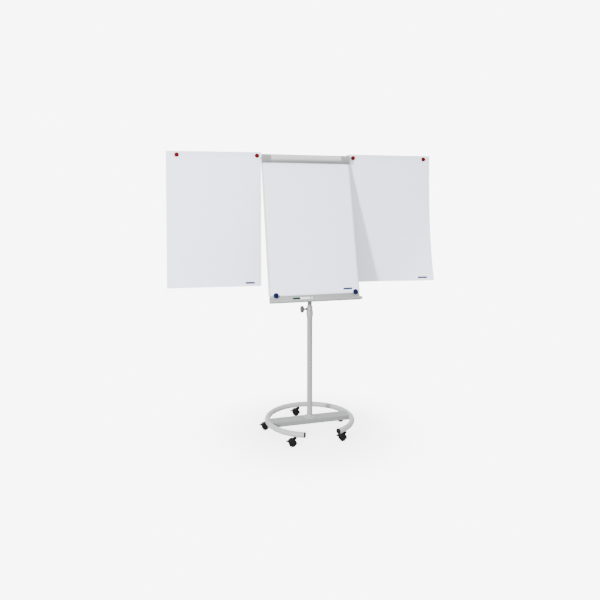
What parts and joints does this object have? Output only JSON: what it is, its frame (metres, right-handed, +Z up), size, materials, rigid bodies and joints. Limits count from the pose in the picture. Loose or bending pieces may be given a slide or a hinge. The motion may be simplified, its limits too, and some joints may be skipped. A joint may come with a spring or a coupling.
{
  "type": "flipchart easel",
  "caption": "Rolling flipchart easel: leaning magnetic board with pad clamp and pen tray on a telescopic post, ring base on braked casters, and folding side arms holding loose sheets.",
  "frame": {"origin": "on the floor under the middle of the easel's box, 13 mm from the post's axis", "axes": "+X to the right of a person who faces the writing surface, +Y from them into the board, +Z up along the post"},
  "size_m": [2.0406, 0.6402, 2.0635],
  "materials": {
    "light_grey_paint": "light grey powder coat, satin",
    "grey_plastic": "light grey moulded plastic",
    "black_plastic": "black moulded nylon",
    "bare_steel": "zinc plated steel",
    "satin_aluminium": "satin anodised extrusion",
    "white_metal": "white powder coat on an aluminium section",
    "tray_paint": "light grey powder coat on an aluminium section",
    "white_enamel": "glossy white magnetic writing surface",
    "board_core": "honeycomb board",
    "paper": "white flipchart paper with a faint square grid",
    "red_plastic": "red",
    "blue_plastic": "dark blue",
    "green_plastic": "dark green",
    "white_plastic": "white"
  },
  "bodies": {
    "base": {"base_ring": "light_grey_paint", "ring_end_cap_left": "black_plastic", "ring_end_cap_right": "black_plastic", "crossbar": "light_grey_paint", "post_foot": "light_grey_paint", "lower_post": "light_grey_paint", "post_collar": "grey_plastic"},
    "clamp_knob": {"knob_grip": "grey_plastic", "knob_screw": "black_plastic"},
    "mast_slide": {"guide_bush": "grey_plastic"},
    "board": {"upper_tube": "light_grey_paint", "tube_plug": "grey_plastic", "upper_bracket": "light_grey_paint", "lower_bracket": "light_grey_paint", "board_core": "board_core", "writing_skin": "white_enamel", "frame_left": "satin_aluminium", "frame_right": "satin_aluminium", "top_rail": "satin_aluminium", "clamp_hinge_rod": "bare_steel", "pen_tray": "tray_paint", "tray_end_cap_left": "grey_plastic", "tray_end_cap_right": "grey_plastic", "paper_pad": "paper", "blue_magnet_left": "blue_plastic", "blue_magnet_right": "blue_plastic", "arm_bracket_left": "grey_plastic", "arm_bracket_right": "grey_plastic", "arm_pin_left": "bare_steel", "arm_pin_right": "bare_steel"},
    "pad_clamp": {"clamp_bar": "satin_aluminium", "clamp_end_left": "grey_plastic", "clamp_end_right": "grey_plastic"},
    "hook_left": {"pad_hook_left": "grey_plastic"},
    "hook_right": {"pad_hook_right": "grey_plastic"},
    "arm_left": {"side_arm_left": "white_metal", "side_sheet_left": "paper", "red_magnet_left_inner": "red_plastic", "red_magnet_left_outer": "red_plastic"},
    "arm_right": {"side_arm_right": "white_metal", "side_sheet_right": "paper", "red_magnet_right_inner": "red_plastic", "red_magnet_right_outer": "red_plastic"},
    "marker": {"marker_body": "white_plastic"},
    "marker_lid": {"marker_cap": "green_plastic"},
    "caster_rear": {"caster_housing_rear": "black_plastic"},
    "wheels_rear": {"caster_wheels_rear": "black_plastic"},
    "brake_rear": {"caster_brake_rear": "black_plastic"},
    "caster_left": {"caster_housing_left": "black_plastic"},
    "wheels_left": {"caster_wheels_left": "black_plastic"},
    "brake_left": {"caster_brake_left": "black_plastic"},
    "caster_front_left": {"caster_housing_front_left": "black_plastic"},
    "wheels_front_left": {"caster_wheels_front_left": "black_plastic"},
    "brake_front_left": {"caster_brake_front_left": "black_plastic"},
    "caster_front_right": {"caster_housing_front_right": "black_plastic"},
    "wheels_front_right": {"caster_wheels_front_right": "black_plastic"},
    "brake_front_right": {"caster_brake_front_right": "black_plastic"},
    "caster_right": {"caster_housing_right": "black_plastic"},
    "wheels_right": {"caster_wheels_right": "black_plastic"},
    "brake_right": {"caster_brake_right": "black_plastic"}
  },
  "joints": [
    {"name": "mast_height", "type": "slide", "parent": "base", "child": "mast_slide", "axis": [0, 0, 1], "range_m": [-0.25, 0.1]},
    {"name": "board_swivel", "type": "hinge", "parent": "mast_slide", "child": "board", "pos_m": [-0.00176, -0.01293, 0.524], "axis": [0, 0, 1], "continuous": true},
    {"name": "knob_turn", "type": "hinge", "parent": "base", "child": "clamp_knob", "pos_m": [-0.00176, -0.01293, 0.909], "axis": [-1, 0, 0], "range_deg": [0, 360]},
    {"name": "clamp_open", "type": "hinge", "parent": "board", "child": "pad_clamp", "pos_m": [-0.00176, 0.0893, 2.03828], "axis": [-1, 0, 0], "range_deg": [0, 75]},
    {"name": "hook_left_slide", "type": "slide", "parent": "board", "child": "hook_left", "axis": [1, 0, 0], "range_m": [-0.004, 0.03]},
    {"name": "hook_right_slide", "type": "slide", "parent": "board", "child": "hook_right", "axis": [1, 0, 0], "range_m": [-0.03, 0.026]},
    {"name": "arm_left_fold", "type": "hinge", "parent": "board", "child": "arm_left", "pos_m": [-0.35176, 0.11207, 2.046], "axis": [0, 0, -1], "range_deg": [-3, 173]},
    {"name": "arm_right_fold", "type": "hinge", "parent": "board", "child": "arm_right", "pos_m": [0.34824, 0.13607, 2.046], "axis": [0, 0, 1], "range_deg": [0, 180]},
    {"name": "marker_slide", "type": "slide", "parent": "board", "child": "marker", "axis": [1, 0, 0], "range_m": [-0.155, 0.35]},
    {"name": "marker_cap_pull", "type": "slide", "parent": "marker", "child": "marker_lid", "axis": [-1, 0, 0], "range_m": [0, 0.05]},
    {"name": "swivel_rear", "type": "hinge", "parent": "base", "child": "caster_rear", "pos_m": [-0.00176, 0.30107, 0.06], "axis": [0, 0, 1], "continuous": true},
    {"name": "roll_rear", "type": "hinge", "parent": "caster_rear", "child": "wheels_rear", "pos_m": [-0.02176, 0.30107, 0.025], "axis": [0, 1, 0], "continuous": true},
    {"name": "brake_rear", "type": "hinge", "parent": "caster_rear", "child": "brake_rear", "pos_m": [-0.04904, 0.30107, 0.04075], "axis": [0, -1, 0], "range_deg": [0, 15]},
    {"name": "swivel_left", "type": "hinge", "parent": "base", "child": "caster_left", "pos_m": [-0.30039, 0.0841, 0.06], "axis": [0, 0, 1], "continuous": true},
    {"name": "roll_left", "type": "hinge", "parent": "caster_left", "child": "wheels_left", "pos_m": [-0.32039, 0.0841, 0.025], "axis": [0, 1, 0], "continuous": true},
    {"name": "brake_left", "type": "hinge", "parent": "caster_left", "child": "brake_left", "pos_m": [-0.34767, 0.0841, 0.04075], "axis": [0, -1, 0], "range_deg": [0, 15]},
    {"name": "swivel_front_left", "type": "hinge", "parent": "base", "child": "caster_front_left", "pos_m": [-0.18632, -0.26696, 0.06], "axis": [0, 0, 1], "continuous": true},
    {"name": "roll_front_left", "type": "hinge", "parent": "caster_front_left", "child": "wheels_front_left", "pos_m": [-0.20632, -0.26696, 0.025], "axis": [0, 1, 0], "continuous": true},
    {"name": "brake_front_left", "type": "hinge", "parent": "caster_front_left", "child": "brake_front_left", "pos_m": [-0.2336, -0.26696, 0.04075], "axis": [0, -1, 0], "range_deg": [0, 15]},
    {"name": "swivel_front_right", "type": "hinge", "parent": "base", "child": "caster_front_right", "pos_m": [0.1828, -0.26696, 0.06], "axis": [0, 0, 1], "continuous": true},
    {"name": "roll_front_right", "type": "hinge", "parent": "caster_front_right", "child": "wheels_front_right", "pos_m": [0.1628, -0.26696, 0.025], "axis": [0, 1, 0], "continuous": true},
    {"name": "brake_front_right", "type": "hinge", "parent": "caster_front_right", "child": "brake_front_right", "pos_m": [0.13552, -0.26696, 0.04075], "axis": [0, -1, 0], "range_deg": [0, 15]},
    {"name": "swivel_right", "type": "hinge", "parent": "base", "child": "caster_right", "pos_m": [0.29687, 0.0841, 0.06], "axis": [0, 0, 1], "continuous": true},
    {"name": "roll_right", "type": "hinge", "parent": "caster_right", "child": "wheels_right", "pos_m": [0.27687, 0.0841, 0.025], "axis": [0, 1, 0], "continuous": true},
    {"name": "brake_right", "type": "hinge", "parent": "caster_right", "child": "brake_right", "pos_m": [0.24959, 0.0841, 0.04075], "axis": [0, -1, 0], "range_deg": [0, 15]}
  ]
}
